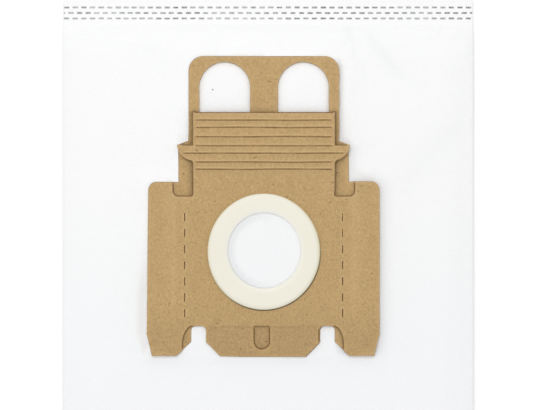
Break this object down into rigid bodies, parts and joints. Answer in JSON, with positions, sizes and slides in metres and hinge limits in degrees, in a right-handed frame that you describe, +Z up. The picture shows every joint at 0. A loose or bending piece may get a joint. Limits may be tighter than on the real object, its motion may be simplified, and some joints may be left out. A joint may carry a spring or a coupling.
{
  "type": "vacuum dust bag",
  "caption": "Flat, unused vacuum dust bag: a welded white fleece pouch with a layered card collar, grip tab, creased tongue and round rubber inlet ring.",
  "frame": {"origin": "under the middle of the bag, on the surface that it lies on", "axes": "+Z up out of the collar, +Y along the bag toward the seam beyond the grip tab, +X across the bag"},
  "size_m": [0.207, 0.264, 0.0139],
  "materials": {
    "fleece": "matte non-woven",
    "kraft_card": "matte kraft board",
    "seal_rubber": "satin"
  },
  "bodies": {
    "root": {"filter_bag": "fleece", "back_plate": "kraft_card", "front_plate": "kraft_card", "seal_ring": "seal_rubber"}
  },
  "joints": []
}
